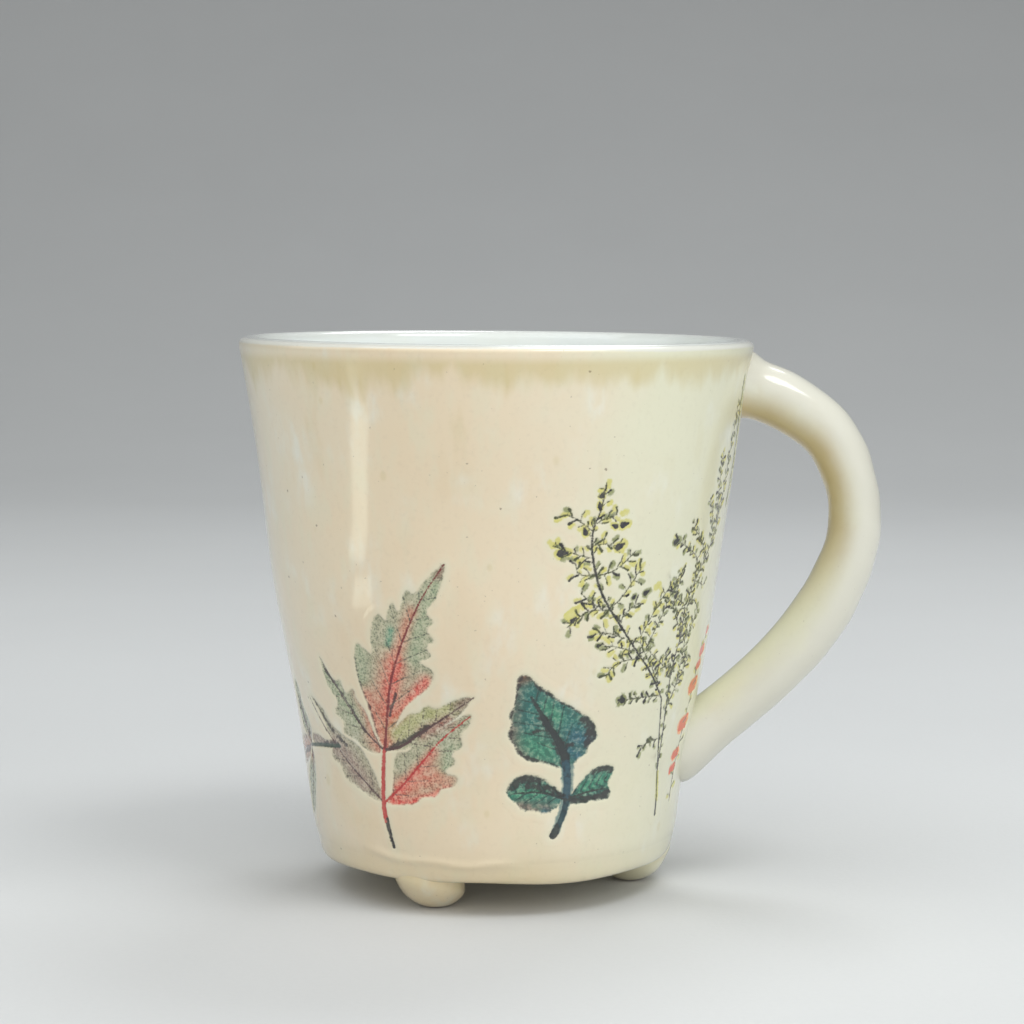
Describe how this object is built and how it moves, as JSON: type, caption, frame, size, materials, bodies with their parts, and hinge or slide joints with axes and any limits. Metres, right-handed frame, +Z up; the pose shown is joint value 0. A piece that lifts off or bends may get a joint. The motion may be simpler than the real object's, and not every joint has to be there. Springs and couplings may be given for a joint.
{
  "type": "stoneware mug",
  "caption": "Hand-built stoneware mug with a looped roll handle, small ball feet, white glazed inside and coloured plants pressed into the wall.",
  "frame": {"origin": "on the cup's axis, in the plane of the table that the feet stand on", "axes": "+Z up through the mouth, +X out through the middle of the handle, +Y to the left of someone facing along +X"},
  "size_m": [0.1192, 0.095, 0.1019],
  "materials": {
    "cream_glaze": "glossy translucent cream glaze over pale stoneware",
    "handle_glaze": "glossy cream glaze, pooling darker on the inside of the bend",
    "foot_glaze": "thin glossy glaze, worn on the flat",
    "bare_clay": "matt",
    "white_liner_glaze": "glossy cool white glaze",
    "red_leaf_pigment": "pigment under glossy glaze",
    "dark_leaf_pigment": "pigment under glossy glaze",
    "orange_pigment": "pigment under glossy glaze",
    "grass_pigment": "pigment under glossy glaze",
    "grey_leaf_pigment": "pigment under glossy glaze",
    "yellow_sprig_pigment": "pigment under glossy glaze",
    "fine_sprig_pigment": "pigment under glossy glaze",
    "fern_pigment": "pigment under glossy glaze",
    "round_leaf_pigment": "pigment under glossy glaze",
    "back_sprig_pigment": "pigment under glossy glaze"
  },
  "bodies": {
    "root": {"wall": "cream_glaze", "base_disc": "cream_glaze", "handle": "handle_glaze", "upper_root_wad": "handle_glaze", "lower_root_wad": "handle_glaze", "foot_under_handle": "foot_glaze", "foot_back_left": "foot_glaze", "foot_front_left": "foot_glaze", "corner_coil": "bare_clay", "liner_glaze": "white_liner_glaze", "red_leaf_inlay": "red_leaf_pigment", "dark_leaf_inlay": "dark_leaf_pigment", "orange_sprig_inlay": "orange_pigment", "grass_blade_inlay": "grass_pigment", "side_leaf_inlay": "grey_leaf_pigment", "yellow_sprig_inlay": "yellow_sprig_pigment", "fine_sprig_inlay": "fine_sprig_pigment", "fern_frond_inlay": "fern_pigment", "round_leaf_inlay": "round_leaf_pigment", "back_sprig_inlay": "back_sprig_pigment"}
  },
  "joints": []
}
